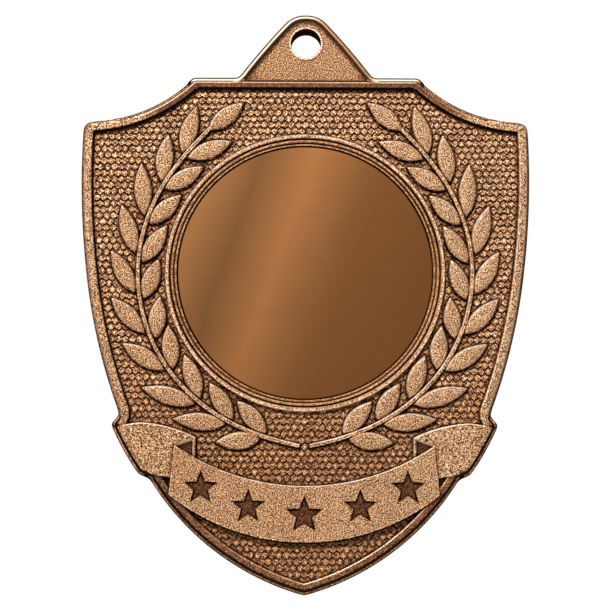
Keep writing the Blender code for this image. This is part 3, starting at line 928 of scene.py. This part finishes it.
# --- Materials ---
class Nodes:
    """Short calls that add nodes to a material's or world's tree."""

    def __init__(self, tree):
        self.tree = tree

    def add(self, kind, inputs=None, output=0, **settings):
        """Adds a shader node, sets or links its inputs, and returns one of its outputs."""
        node = self.tree.nodes.new("ShaderNode" + kind)
        for name, value in settings.items():
            setattr(node, name, value)
        for name, value in (inputs or {}).items():
            if isinstance(value, bpy.types.NodeSocket):
                self.tree.links.new(value, node.inputs[name])
            else:
                node.inputs[name].default_value = value
        return node.outputs[output] if node.outputs else None

    def math(self, operation, a, b):
        return self.add("Math", {0: a, 1: b}, operation=operation)

    def dot(self, vector, direction):
        """How far a vector goes in a direction."""
        return self.add("VectorMath", {0: vector, 1: direction}, output=1, operation="DOT_PRODUCT")

    def mix(self, first, second, share):
        """first where share is 0, second where it is 1."""
        return self.add("Mix", {2: first, 3: second, 0: share})

    def weighted(self, *terms, offset=0.0):
        """Sum of each value times its weight, and an offset."""
        total = offset
        for value, weight in terms:
            total = self.add("Math", {0: value, 1: weight, 2: total}, operation="MULTIPLY_ADD")
        return total

    def fall(self, distance, reach):
        """1 where a distance is 0, falling smoothly to 0 at reach."""
        inputs = {"Value": distance, "From Min": 0.0, "From Max": reach, "To Min": 1.0, "To Max": 0.0}
        return self.add("MapRange", inputs, interpolation_type="SMOOTHSTEP")

    def spread(self, value, low, high):
        """A value spread from low..high to 0..1."""
        return self.add("MapRange", {"Value": value, "From Min": low, "From Max": high})

    def ramp(self, value, stops):
        """Colour by value; stops are (position, colour)."""
        node = self.tree.nodes.new("ShaderNodeValToRGB")
        elements = node.color_ramp.elements
        while len(elements) < len(stops):
            elements.new(0.5)
        for element, (position, colour) in zip(elements, stops):
            element.position = position
            element.color = (*colour, 1.0)
        self.tree.links.new(value, node.inputs[0])
        return node.outputs[0]

    def noise(self, vector, scale, detail=2.0, roughness=0.5):
        inputs = {"Vector": vector, "Scale": scale, "Detail": detail, "Roughness": roughness}
        return self.add("TexNoise", inputs)

    def attribute(self, name):
        return self.add("Attribute", output=2, attribute_name=name)


def new_material(name):
    """An empty node material, its nodes helper and its Principled shader."""
    material = bpy.data.materials.new(name)
    material.use_nodes = True
    return material, Nodes(material.node_tree), material.node_tree.nodes["Principled BSDF"]


def link(nodes, shader, **sockets):
    """Links values to the shader's inputs; underscores in the names stand for spaces."""
    for name, value in sockets.items():
        nodes.tree.links.new(value, shader.inputs[name.replace("_", " ")])


# Cast bronze, from patina and painted shade at 0 through bare metal to the near-white of painted highlights
# at 1.
# Edges get painted highlights where they face the painted light's direction, and between two heights in
# metres the casting darkens towards the bottom as painted shade
BRONZE_STOPS = [(0.0, (0.008, 0.004, 0.002)), (0.2, (0.13, 0.042, 0.012)), (0.4, (0.46, 0.19, 0.065))]
BRONZE_STOPS += [(0.6, (0.76, 0.4, 0.168)), (0.8, (1.0, 0.8, 0.54)), (1.0, (1.0, 0.94, 0.87))]
GRAIN_SCALE = 8600.0
GRAIN_RANGE = (0.405, 0.595)
GRAIN_WHERE_CALM = 0.38
PAINTED_LIGHT_DIRECTION = (-0.42, 0.0, 0.91)
PAINTED_SHADE_LOW_BETWEEN = (-0.031, -0.040)


def patina_and_painted_shade(nodes, lit, low):
    """How dark the metal is: patina and painted shadows at the foot of steps, painted shade on walls that
    face away from the light, painted shadows under the scales' lips, and grime in their grooves that darkens
    towards the bottom as painted shade.
    """
    foot, groove = nodes.attribute("foot"), nodes.attribute("groove")
    # Walls that face the painted light are spared most of their dark outline; on the others it is painted
    # shade
    on_step = nodes.math("MULTIPLY", lit, nodes.spread(foot, -0.02, 0.0))
    outline = nodes.math("MULTIPLY", nodes.spread(foot, 0.12, 0.06), nodes.mix(1.0, 0.15, on_step))
    shadow = nodes.math("MULTIPLY", nodes.fall(foot, 0.4), 0.6)
    grime_and_painted_shade = nodes.math("MULTIPLY", nodes.fall(groove, 0.5), nodes.weighted((low, 0.3), offset=0.15))
    under_lip = nodes.math("MAXIMUM", nodes.spread(groove, 0.16, 0.07), grime_and_painted_shade)
    return nodes.math("MAXIMUM", nodes.math("MAXIMUM", outline, shadow), under_lip)


def antique_bronze():
    """Sand-cast bronze with dark patina in its corners and grooves, and metal worn bright on its edges. It
    also carries painted shadows, painted shade that grows towards the bottom, painted highlights on edges
    that face the light, and painted light that grows towards the right.
    """
    material, nodes, shader = new_material("antique_bronze_cast")
    place = nodes.add("TexCoord", output=3)
    split = nodes.add("SeparateXYZ", {0: place}).node
    to_right, height = split.outputs[0], split.outputs[2]
    normal = nodes.add("NewGeometry", output=1)
    # lit is how far a surface faces the painted light; it drives painted highlights and painted shade
    lit = nodes.spread(nodes.dot(normal, PAINTED_LIGHT_DIRECTION), 0.15, 0.6)
    low = nodes.spread(height, *PAINTED_SHADE_LOW_BETWEEN)
    dark = patina_and_painted_shade(nodes, lit, low)

    calm = nodes.attribute("calm")
    grain = nodes.spread(nodes.noise(place, GRAIN_SCALE, 2.0, 0.8), *GRAIN_RANGE)
    grain = nodes.mix(grain, GRAIN_WHERE_CALM, nodes.math("MULTIPLY", calm, 0.5))
    tone = nodes.noise(place, 260.0)
    worn = nodes.fall(nodes.attribute("edge"), 0.08)
    on_scale = nodes.spread(nodes.attribute("groove"), 0.9, 0.6)
    # Edges are worn, and brighter still where they face the painted light: wear and painted highlight
    wear_and_highlight = nodes.math("MULTIPLY", worn, nodes.weighted((lit, 0.55), (on_scale, 0.4), offset=0.1))
    # low darkens the casting towards the bottom as painted shade, and to_right brightens it towards the right
    # as painted light
    terms = [(grain, 0.8), (tone, 0.12), (wear_and_highlight, 1.0), (calm, -0.15), (low, -0.02), (to_right, 1.5)]
    level = nodes.weighted(*terms, offset=-0.1)
    shaded = nodes.math("MULTIPLY", level, nodes.mix(1.0, 0.03, dark))

    bump = nodes.add("Bump", {"Strength": 0.5, "Distance": 0.00003, "Height": grain})
    roughness = nodes.weighted((dark, 0.25), (worn, -0.15), offset=0.5)
    metallic, specular = nodes.mix(0.55, 0.0, dark), nodes.mix(0.5, 0.0, dark)
    link(nodes, shader, Base_Color=nodes.ramp(shaded, BRONZE_STOPS), Roughness=roughness, Normal=bump)
    link(nodes, shader, Metallic=metallic, Specular_IOR_Level=specular)
    return material


# Painted reflection in soft bands over the insert: (distance across them in millimetres, tone, how red)
REFLECTION_BAND_DIRECTION = (1.0, 0.0, -0.345)
REFLECTION_BANDS = [(-12.5, 0.306, 0.4), (-8.2, 0.189, 0.35), (-3.2, 0.351, 0.6), (0.0, 0.2745, 0.6)]
REFLECTION_BANDS += [(2.2, 0.225, 0.7), (4.6, 0.2007, 0.9), (13.0, 0.1908, 1.0)]


def reflection_band_stops():
    """The painted reflection bands as positions from 0 to 1 and colours."""
    first, last = REFLECTION_BANDS[0][0], REFLECTION_BANDS[-1][0]
    stops = []
    for across, tone, red in REFLECTION_BANDS:
        colour = (tone, tone * (0.475 - 0.07 * red), tone * (0.19 - 0.065 * red))
        stops.append(((across - first) / (last - first), colour))
    return stops


def brushed_bronze():
    """Smooth brushed metal with fine level lines, under soft bands of painted reflection."""
    material, nodes, shader = new_material("brushed_bronze_sheet")
    place = nodes.add("TexCoord", output=3)
    stretched = nodes.add("Mapping", {"Vector": place, "Scale": (0.06, 1.0, 1.0)})
    lines = nodes.noise(stretched, 3000.0, 3.0, 0.6)
    insert_to_hole = (0.0, 0.0, -INSERT_CENTRE_Z * MM)
    centred = nodes.add("VectorMath", {0: place, 1: insert_to_hole}, operation="ADD")
    # Slanted bands of painted reflection across the insert, wavering with a slow noise
    slant = nodes.dot(centred, REFLECTION_BAND_DIRECTION)
    across = nodes.weighted((slant, 1 / MM), (nodes.noise(place, 160.0), 1.5), offset=-0.75)
    reflection_bands = nodes.ramp(nodes.spread(across, REFLECTION_BANDS[0][0], REFLECTION_BANDS[-1][0]), reflection_band_stops())
    brushing = nodes.weighted((lines, 0.16), offset=0.92)
    colour = nodes.add("VectorMath", {0: reflection_bands, "Scale": brushing}, operation="SCALE")
    bump = nodes.add("Bump", {"Strength": 0.12, "Distance": 0.00001, "Height": lines})
    link(nodes, shader, Base_Color=colour, Normal=bump)
    shader.inputs["Metallic"].default_value = 1.0
    shader.inputs["Roughness"].default_value = 0.7
    return material


def adhesive_film():
    """Milky double-sided film."""
    material, nodes, shader = new_material("milky_adhesive")
    place = nodes.add("TexCoord", output=3)
    stops = [(0.3, (0.68, 0.66, 0.60)), (0.7, (0.78, 0.76, 0.70))]
    link(nodes, shader, Base_Color=nodes.ramp(nodes.noise(place, 900.0), stops))
    shader.inputs["Roughness"].default_value = 0.6
    return material


# --- Object ---
def dress(item, material, replaced):
    """Gives a piece its material, attaches it to the root body and hides the CAD node that it replaces."""
    item.data.materials.append(material)
    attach(item, "root")
    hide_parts(replaced)


dress(make_casting(), antique_bronze(), "medal_body")
dress(make_insert(), brushed_bronze(), "insert_disc")
frame["nodes"]["insert_adhesive"].data.materials[0] = adhesive_film()


# --- Studio ---
CAMERA_DISTANCE = 160.0
CAMERA_TILT_DEG = 8.5
VIEW_WIDTH = 60.0
FRAME_DROP = 3.27
CAMERA_ROLL_DEG = 0.2
FLOOR_DROP = 40.0
FLOOR_RADIUS = 330.0
TARGET = Vector((0.0, insert_low.y, INSERT_CENTRE_Z * MM))
KEY_PLACE = (-0.121, -0.421, 0.308)
KEY_SIZE = 0.055
KEY_POWER = 3.2


def make_world():
    """White to the eye, and a soft studio to the metal: bright above and at the sides, dimmer in front."""
    studio = bpy.data.worlds.new("studio")
    studio.use_nodes = True
    bpy.context.scene.world = studio
    nodes = Nodes(studio.node_tree)
    studio.node_tree.nodes.clear()
    direction = nodes.add("TexCoord", output=0)
    split = nodes.add("SeparateXYZ", {0: direction})
    dimmed = nodes.spread(split.node.outputs[1], 0.3, -0.5)
    overhead = nodes.spread(split.node.outputs[2], 0.3, 0.9)
    strength = nodes.weighted((dimmed, -0.75), (overhead, 0.3), offset=0.9)
    reflected = nodes.add("Background", {"Color": (1.0, 0.98, 0.95, 1.0), "Strength": strength})
    seen = nodes.add("Background", {"Color": (1.0, 1.0, 1.0, 1.0)})
    is_camera = nodes.add("LightPath", output=0)
    mixed = nodes.add("MixShader", {0: is_camera, 1: reflected, 2: seen})
    nodes.add("OutputWorld", {0: mixed})


def make_light(name, place, size, power):
    """A square area light that faces the insert."""
    lamp = bpy.data.lights.new(name, "AREA")
    lamp.size = size
    lamp.energy = power
    item = bpy.data.objects.new(name, lamp)
    item.location = place
    item.rotation_euler = (TARGET - Vector(place)).to_track_quat("-Z", "Y").to_euler()
    bpy.context.scene.collection.objects.link(item)


def make_camera():
    """Long lens a little below the medal, looking slightly up at it."""
    lens = bpy.data.cameras.new("camera")
    lens.sensor_width = 36.0
    lens.lens = lens.sensor_width * CAMERA_DISTANCE / VIEW_WIDTH
    lens.clip_start = 0.01
    item = bpy.data.objects.new("camera", lens)
    tilt = math.radians(CAMERA_TILT_DEG)
    item.location = TARGET - CAMERA_DISTANCE * MM * Vector((0, math.cos(tilt), math.sin(tilt)))
    aim = TARGET - FRAME_DROP * MM * Vector((0, -math.sin(tilt), math.cos(tilt)))
    roll = Quaternion((0.0, 0.0, 1.0), math.radians(CAMERA_ROLL_DEG))
    item.rotation_euler = ((aim - item.location).to_track_quat("-Z", "Y") @ roll).to_euler()
    bpy.context.scene.collection.objects.link(item)
    bpy.context.scene.camera = item


def make_floor():
    """Pale round floor, well under the hanging medal, whose edge fades out."""
    floor_z = body_low.z - FLOOR_DROP * MM
    points = circle(FLOOR_RADIUS, CIRCLE_POINTS) * MM
    mesh = bpy.data.meshes.new("floor")
    mesh.from_pydata([(x, y, floor_z) for x, y in points], [], [tuple(range(CIRCLE_POINTS))[::-1]])
    item = bpy.data.objects.new("floor", mesh)
    bpy.context.scene.collection.objects.link(item)
    material, nodes, shader = new_material("pale_floor")
    place = nodes.add("TexCoord", output=3)
    away = nodes.add("VectorMath", {0: place}, output=1, operation="LENGTH")
    link(nodes, shader, Alpha=nodes.spread(away, FLOOR_RADIUS * MM, FLOOR_RADIUS * MM * 0.3))
    shader.inputs["Base Color"].default_value = (0.93, 0.93, 0.92, 1.0)
    shader.inputs["Roughness"].default_value = 0.9
    mesh.materials.append(material)


make_world()
make_light("key", KEY_PLACE, KEY_SIZE, KEY_POWER)
make_floor()
make_camera()
bpy.context.scene.view_settings.view_transform = "Standard"
